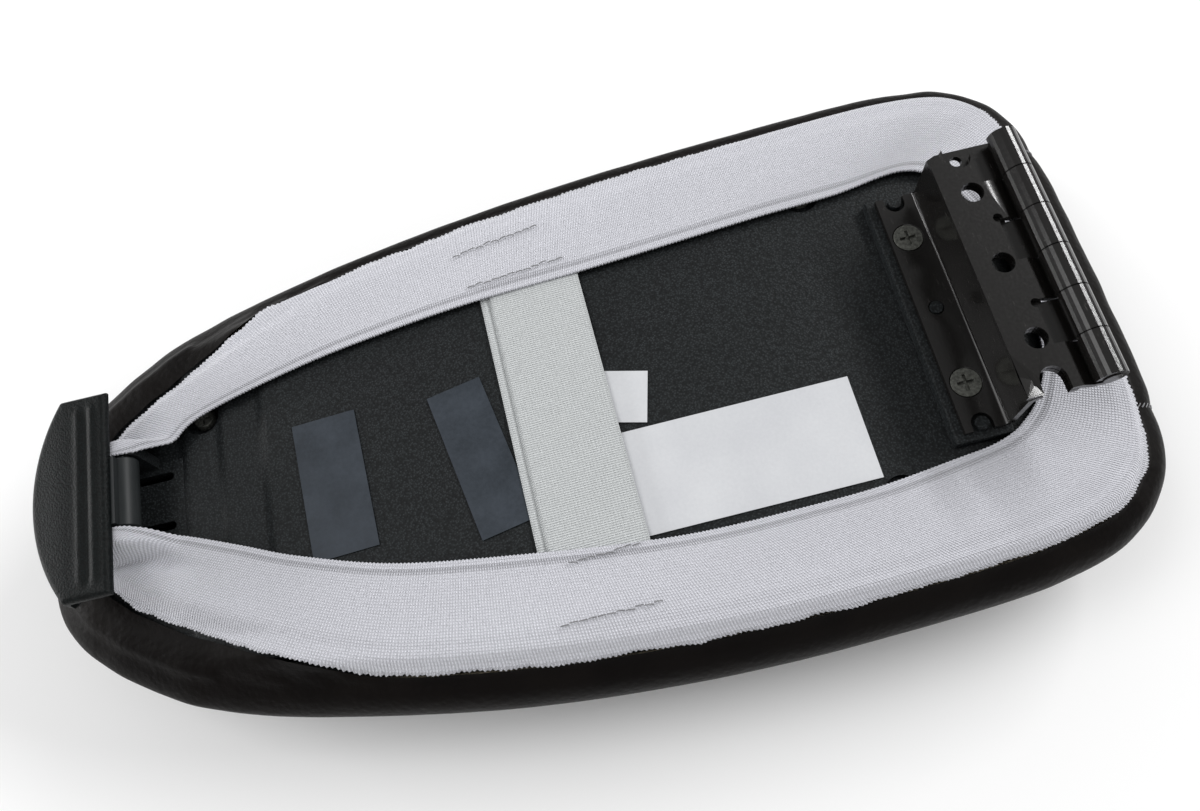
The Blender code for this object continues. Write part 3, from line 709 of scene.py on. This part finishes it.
band = {
    "columns": 1200, "rows": 31, "thickness": 0.75 * mm, "length": 520 * mm, "width": 28 * mm,
    "outerInset": 8.2 * mm, "hemDepth": 3.3 * mm, "level": 2.45 * mm, "shoulder": 0.3,
    "shellLift": 1.45 * mm,                 # how far it stays above what lies under it
    "ripple": {"size": 0.25 * mm, "count": 8},
    "pleats": {"size": 0.45 * mm, "count": 60, "spread": 14 * mm},   # gathered round the latch
    "fold": {"depth": 1.5 * mm, "behind": 7 * mm, "length": 8 * mm, "aside": 18.4 * mm, "slope": 0.3,
             "start": 6 * mm, "width": 2.4 * mm},                    # a dent beside the near ear
    "tooth": 0.22 * mm, "fray": 0.2 * mm,   # picot edge
    # Inner edge, from the nose round the far side: x, y and height over the tray face, in mm
    "inner": ((-130, 0, 2.3), (-129, 6, 2.3), (-125.5, 10, 2.4), (-121, 9.9, 2.4), (-117.5, 9.7, 2.4),
              (-113, 10.2, 2.4), (-107.5, 13.4, 2.4), (-98.4, 20, 2.4), (-71, 27.4, 2.5), (-45, 31.8, 2.5),
              (-20.7, 34.5, 2.5), (7, 36, 2.5), (34, 38, 2.5), (60.5, 40, 2.5), (82, 41.2, 2.5),
              (102, 43.6, 2.6), (112, 37, 2.6), (118, 22, 2.6), (120, 0, 2.6), (118, -18, 2.6),
              (112, -29, 2.8), (105.7, -34.6, 3.6), (101.2, -37, 3.9), (96, -38.4, 3.4), (88, -39.3, 2.9),
              (67.2, -41.6, 2.5), (46, -42.3, 2.5), (26.7, -42.4, 2.5), (10, -41.4, 2.5),
              (-15.7, -38.3, 2.5), (-51.3, -32.6, 2.5),
              (-76, -24.9, 2.5), (-90.4, -18.7, 2.5), (-101, -14.2, 2.6), (-108, -11.6, 3), (-113, -10.1, 3),
              (-117.5, -9.7, 2.4), (-121, -9.9, 2.4), (-125.5, -10, 2.4), (-129, -6, 2.3)),
    "ear": {"radius": 4.9 * mm, "y": (13 * mm, 16.6 * mm), "front": 8 * mm, "behind": 12 * mm},
}


def overEar(x, y):
    # Height that the band needs to ride over the latch's two ears, and how strongly it applies
    ear = band["ear"]
    aside = x - latchAxis.x
    onRound = np.clip(aside, -0.85 * ear["radius"], 0.85 * ear["radius"])
    height = latchAxis.z - trayTop + np.sqrt(ear["radius"] ** 2 - onRound ** 2)
    run = np.where(aside > 0, ear["behind"], ear["front"])
    share = (1 - easing(np.abs(aside), 0.8 * ear["radius"], run)) * (1 - easing(np.abs(y), *ear["y"]))
    return height, share


def smoothSheet(piece):
    tidyMesh(piece)
    piece.data.shade_smooth()


def makeBand():
    count, rows = band["columns"], band["rows"]
    loop = padOutline(count)
    inward = inwardOf(loop)
    outerInset = band["outerInset"] + 1.15 * hemExtra(loop[:, 0])
    outer = loop + inward * outerInset[:, None]
    outer[:, 1] += drift(outer[:, 0])
    inner = evenly(smoothCurve(np.array(band["inner"]) * mm, True), count, True)
    step = np.arange(count)
    walked = step / count
    random = np.random.default_rng(11)
    frayed = np.convolve(random.normal(size=count + 8), np.ones(9) / 3, "valid")
    grid = np.empty((rows, count, 3))
    across = 1 - (1 - np.linspace(0, 1, rows)) ** 1.25
    reach = np.linalg.norm(outer - inner[:, :2], axis=1)
    ripple, pleats, fold = band["ripple"], band["pleats"], band["fold"]
    for r, t in enumerate(across):
        x, y = (outer * (1 - t) + inner[:, :2] * t).T
        rise = easing(t, -0.06, band["shoulder"])
        level = band["level"] + (inner[:, 2] - band["level"]) * easing(t, 0.55, 1)
        z = -band["hemDepth"] * (1 - rise) + level * rise
        z = np.maximum(z, shellHeight(x, outerInset + reach * t) + band["shellLift"])
        free = math.sin(math.pi * t)        # both edges are held
        z += ripple["size"] * np.sin(2 * np.pi * ripple["count"] * walked + 3 * t) * free
        height, share = overEar(x, y)
        gathered = pleats["size"] * np.sin(2 * np.pi * pleats["count"] * walked + 3 * t) * free
        gathered *= bell(x, latchAxis.x, pleats["spread"]) * (1 - 0.6 * share)
        lean = y + fold["aside"] + fold["slope"] * (x - latchAxis.x - fold["start"])
        hollow = fold["depth"] * bell(x, latchAxis.x + fold["behind"], fold["length"])
        hollow *= bell(lean, 0, fold["width"])
        z += (height - z) * share + gathered - hollow
        grid[r] = np.column_stack([x, y, trayTop + z])
    # Picot edges: a loose one outside and a neat beaded one inside
    outward = (outer - inner[:, :2]) / reach[:, None]
    tooth = np.where(step % 2, band["tooth"], -band["tooth"])
    grid[0, :, :2] += outward * (tooth + band["fray"] * frayed)[:, None]
    grid[-1, :, :2] -= outward * (0.6 * tooth)[:, None]
    grid[-1, :, 2] += np.where(step % 2, 0.12, -0.05) * mm
    piece = meshOf("elasticBand", grid, bandKnit, True, (band["length"], band["width"]), across)
    thicken(piece, band["thickness"], 1.0)
    smoothSheet(piece)
    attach(piece, "lid")
    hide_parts("elastic_band")
    return grid


strap = {"middle": (-3.7 * mm, 0), "halfSpan": 54 * mm, "width": 25 * mm, "thickness": 0.45 * mm,
         "lift": 0.8 * mm, "layerGap": 0.8 * mm, "layerShift": 2.8 * mm, "turn": math.radians(1.5)}


def makeStrap(name, node, layer):
    # A flat strap across the tray; layer 1 lies on layer 0 and bows a little in the middle
    columns, rows = 120, 26
    grid = np.empty((rows, columns, 3))
    turn = strap["turn"]
    middle = strap["middle"][0] - (1 - layer) * strap["layerShift"]
    for r, v in enumerate(np.linspace(-0.5, 0.5, rows)):
        for c, u in enumerate(np.linspace(-1, 1, columns)):
            x, y = v * strap["width"], u * strap["halfSpan"]
            wave = 0.06 * mm * math.sin(9 * u + 5 * v + layer) + 0.1 * mm * (1 - (2 * v) ** 2) * layer
            grid[r, c] = (middle + x * math.cos(turn) - y * math.sin(turn),
                          x * math.sin(turn) + y * math.cos(turn),
                          trayTop + strap["lift"] + layer * strap["layerGap"] + wave)
    piece = meshOf(name, grid, strapWeave, False, (2 * strap["halfSpan"], strap["width"]))
    thicken(piece, strap["thickness"], 1.0)
    smoothSheet(piece)
    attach(piece, "lid")
    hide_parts(node)


bandKnit = elasticFinish("bandKnit", (0.76, 0.765, 0.825), 0.56 * mm, 0.78 * mm, 2.2 * mm,
                         band["width"])
strapWeave = elasticFinish("strapWeave", (0.69, 0.715, 0.72), 0.62 * mm, 0.9 * mm, 0.0, 1.0)
bandShape = makeBand()
makeStrap("crossStrapLower", "cross_strap_lower", 0)
makeStrap("crossStrapUpper", "cross_strap_upper", 1)

bandStitch = {
    "radius": 0.17 * mm, "pitch": 2.3 * mm, "length": 1.95 * mm,
    "startWander": 0.16 * mm, "endWander": 0.22 * mm,
    "arch": ((0, -0.2), (0.2, 0.08), (0.5, 0.16), (0.8, 0.08), (1, -0.2)),   # share along, height in mm
    # Rows that tie the straps to the band: start and end, in mm
    "rows": (((-24.8, 49.3), (0.6, 53.1)), ((-22.3, 38.5), (5.3, 41.2)),
             ((-10.8, -42.2), (9.5, -41.9)), ((-15.8, -56.7), (11.5, -56.2))),
}


def bandHeight(x, y):
    flat = bandShape.reshape(-1, 3)
    return flat[np.argmin((flat[:, 0] - x) ** 2 + (flat[:, 1] - y) ** 2), 2] + band["thickness"]


def newThread(name, radius):
    data = bpy.data.curves.new(name, "CURVE")
    data.dimensions = "3D"
    data.bevel_depth = radius
    data.bevel_resolution = 2
    data.use_fill_caps = True
    return data


def layThread(data):
    thing = bpy.data.objects.new(data.name, data)
    bpy.context.scene.collection.objects.link(thing)
    data.materials.append(greyThread)
    selectOnly(thing)
    bpy.ops.object.convert(target="MESH")
    thing = bpy.context.object
    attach(thing, "lid")


def makeStitches():
    data = newThread("bandStitches", bandStitch["radius"])
    pitch = bandStitch["pitch"]
    random = np.random.default_rng(5)
    for start, end in bandStitch["rows"]:
        start, end = np.array(start) * mm, np.array(end) * mm
        length = np.linalg.norm(end - start)
        aside = np.array((start[1] - end[1], end[0] - start[0])) / length
        for k in range(int(length / pitch)):
            a = start + (end - start) * (k * pitch / length)
            a = a + aside * random.normal() * bandStitch["startWander"]
            b = a + (end - start) / length * bandStitch["length"]
            b = b + aside * random.normal() * bandStitch["endWander"]
            spline = data.splines.new("POLY")
            spline.points.add(len(bandStitch["arch"]) - 1)
            for point, (t, rise) in zip(spline.points, bandStitch["arch"]):
                x, y = a + (b - a) * t
                point.co = (x, y, bandHeight(x, y) + rise * mm, 1)
    layThread(data)


makeStitches()
print("elastic done")


# A seam is walked in equal steps, which "every" and "spacing" count; "aside" and "out" are in mm
seamStitch = {"radius": 0.16 * mm, "steps": 400, "every": 24, "spacing": 8,
              "aside": (0.5, -0.1, -0.6), "out": 0.1}


def makeSeamThreads():
    # Stitches that show along the two upright seams of the rear strip
    data = newThread("coverStitches", seamStitch["radius"])
    seam, steps = pad["sideRows"] - 1, seamStitch["steps"]
    for column, side in ((firstSeam, 1), (lastSeam, -1)):
        line = coverShape[1:seam, column]
        line = evenly(smoothCurve(line, False, 6), steps, False)
        aside = coverShape[1:seam, column + side] - coverShape[1:seam, column]
        aside = evenly(aside, steps, False)
        aside /= np.linalg.norm(aside, axis=1)[:, None]
        for k in range(6, steps - 10, seamStitch["every"]):
            spline = data.splines.new("POLY")
            spline.points.add(2)
            for i, shift in enumerate(seamStitch["aside"]):
                step = k + seamStitch["spacing"] * i
                spot = line[step] - aside[step] * shift * mm
                if i == 1:
                    spot = spot + np.array((seamStitch["out"], 0, seamStitch["out"])) * mm
                spline.points[i].co = (*spot, 1)
    layThread(data)


makeSeamThreads()
print("seams done")


latch = {
    "inner": latchAxis.x - 0.4 * mm, "corner": latchAxis.x - 12.4 * mm, "tip": latchAxis.x - 20.4 * mm,
    "half": 26.6 * mm, "top": trayTop + 15.1 * mm, "wall": 2.4 * mm, "skirt": 6.2 * mm,
    "edge": 1.5 * mm, "crown": 1.3 * mm, "thickness": 1.5 * mm,
    "hubRadius": 3.8 * mm, "hubHalf": 9.35 * mm, "chamfer": 0.5 * mm, "bore": 1.6 * mm, "web": 3.4 * mm,
    "ribs": ((-3.6 * mm, 0.42 * mm), (-7.2 * mm, 0.34 * mm)),   # behind the inner edge, and their height
}


def plateHeight(x, y, edge):
    # The plate's face, from its crown, its ribs and its rounded edge; edge is the way to the border
    fall = latch["crown"] * easing(x, latch["corner"] + 2 * mm, latch["tip"] - 4 * mm)
    ends = easing(latch["half"] - abs(y), 1.5 * mm, 6 * mm)
    rib = sum(height * bell(x, latch["inner"] + place, 0.85 * mm) for place, height in latch["ribs"])
    dip = 0.3 * mm * bell(x, latch["inner"] - 5.4 * mm, 0.8 * mm)
    rounding = 0
    radius = latch["edge"]
    if edge < radius:
        rounding = radius - math.sqrt(max(0, radius ** 2 - (radius - edge) ** 2))
    return latch["top"] - 0.35 * mm - fall + (rib - dip) * ends - rounding


def closeAtEnds(count):
    # Steps from 0 to 1 that lie closer together at both ends
    return (1 - np.cos(np.linspace(0, math.pi, count))) / 2


def makeLatch():
    rise = latch["corner"] - latch["tip"]
    radius = (latch["half"] ** 2 + rise ** 2) / (2 * rise)
    centre = latch["tip"] + radius
    widths = 2 * closeAtEnds(90) - 1
    rows = []
    for u in closeAtEnds(70):
        x = latch["inner"] + (latch["tip"] + 0.02 * mm - latch["inner"]) * u
        half = latch["half"]
        if x <= latch["corner"]:
            half = math.sqrt(max(1e-9, radius ** 2 - (x - centre) ** 2))
        row = []
        for v in widths:
            y = half * v
            edge = min(radius - math.hypot(x - centre, y), latch["half"] - abs(y), latch["inner"] - x)
            row.append((x, y, plateHeight(x, y, max(0, edge))))
        rows.append(row)
    grid = np.array(rows)
    plate = meshOf("latchPlate", grid, latchPlastic, False)
    # The edge is drawn down into a skirt, deep round the tip and shallow at the inner edge
    selectOnly(plate)
    bm = bmesh.new()
    bm.from_mesh(plate.data)
    rim = [e for e in bm.edges if e.is_boundary]
    for step in range(3):
        grown = bmesh.ops.extrude_edge_only(bm, edges=rim)["geom"]
        rim = [g for g in grown if isinstance(g, bmesh.types.BMEdge)]
        for vert in (g for g in grown if isinstance(g, bmesh.types.BMVert)):
            deep = easing(vert.co.x, latch["corner"] + 1.5 * mm, latch["corner"] - 1 * mm)
            low = latch["top"] - latch["wall"] - latch["skirt"] * deep
            vert.co.z += (low - vert.co.z) * (0.45, 0.6, 1)[step]
    bmesh.ops.remove_doubles(bm, verts=bm.verts, dist=0.01 * mm)
    bmesh.ops.recalc_face_normals(bm, faces=bm.faces)
    bm.to_mesh(plate.data)
    bm.free()
    thicken(plate, latch["thickness"])
    tidyMesh(plate)
    selectOnly(plate)
    bpy.ops.object.shade_smooth_by_angle(angle=math.radians(50))
    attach(plate, "latch")
    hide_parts("latch_handle")
    hub = makeHub()
    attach(hub, "latch")


def makeHub():
    # A satin barrel with chamfered ends, bored for the pivot pin, and the web that carries the plate
    half, radius, bore, chamfer = (latch[k] for k in ("hubHalf", "hubRadius", "bore", "chamfer"))
    profile = ((bore, -half), (radius - chamfer, -half), (radius, -half + chamfer),
               (radius, half - chamfer), (radius - chamfer, half), (bore, half))
    sides = 64
    turns = np.linspace(0, 2 * np.pi, sides, endpoint=False)
    grid = np.array([[(latchAxis.x + r * math.cos(t), y, latchAxis.z + r * math.sin(t)) for t in turns]
                     for r, y in profile + profile[:1]])
    hub = meshOf("latchHub", grid, hubSatin, True)
    tidyMesh(hub)
    low, high = latchAxis.z - 1 * mm, latch["top"] - latch["wall"] + 0.3 * mm
    bpy.ops.mesh.primitive_cube_add(size=1)
    web = bpy.context.object
    web.scale = (latch["web"], 2 * half - 1 * mm, high - low)
    web.location = (latchAxis.x - 1.2 * mm, 0, (low + high) / 2)
    selectOnly(web)
    bpy.ops.object.transform_apply(location=True, rotation=True, scale=True)
    join = hub.modifiers.new("web", "BOOLEAN")
    join.operation = "UNION"
    join.object = web
    join.solver = "EXACT"
    applyAll(hub)
    bpy.ops.mesh.primitive_cylinder_add(vertices=48, radius=bore, depth=3 * half, location=latchAxis,
                                        rotation=(math.pi / 2, 0, 0))
    drill = bpy.context.object
    cut = hub.modifiers.new("bore", "BOOLEAN")
    cut.operation = "DIFFERENCE"
    cut.object = drill
    cut.solver = "EXACT"
    applyAll(hub)
    bpy.data.objects.remove(web)
    bpy.data.objects.remove(drill)
    soften(hub, 0.3 * mm, 2, 40)
    return hub


makeLatch()
print("latch done")


screw = (0.14 * mm, oxideSteel, "lid", "oxide_steel")
# Node: the copy's name, its broken edge's width, material, body and slot
refinedNodes = {
    "base_tray": ("moulding", 0.35 * mm, trayPlastic, "lid", "tray_plastic"),
    "hinge_lid_leaf": ("lidLeaf", 0, blackSteel, "lid", "black_steel"),
    "hinge_console_leaf": ("consoleLeaf", 0, blackSteel, "console_leaf", "black_steel"),
    "hinge_pin": ("hingePin", 0.4 * mm, blackSteel, "lid", "black_steel"),
    "hinge_screw_far": ("leafScrewFar", *screw),
    "hinge_screw_near": ("leafScrewNear", *screw),
    "tray_screw_1": ("trayScrew1", *screw),
    "tray_screw_2": ("trayScrew2", *screw),
    "tray_screw_3": ("trayScrew3", *screw),
    "tray_screw_4": ("trayScrew4", *screw),
}
for node, (name, width, material, body, slotName) in refinedNodes.items():
    piece = refined(node, name, width, material)
    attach(piece, body)

for node, material in (("carrier_shell", carrierPlastic), ("clear_tape_front", hazyTape),
                       ("clear_tape_middle", hazyTape), ("label_large", paper), ("label_small", paper),
                       ("latch_pivot_pin", brightSteel), ("latch_spring", brightSteel)):
    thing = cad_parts[node]
    thing.data.materials.clear()
    thing.data.materials.append(material)
print("hard parts done")
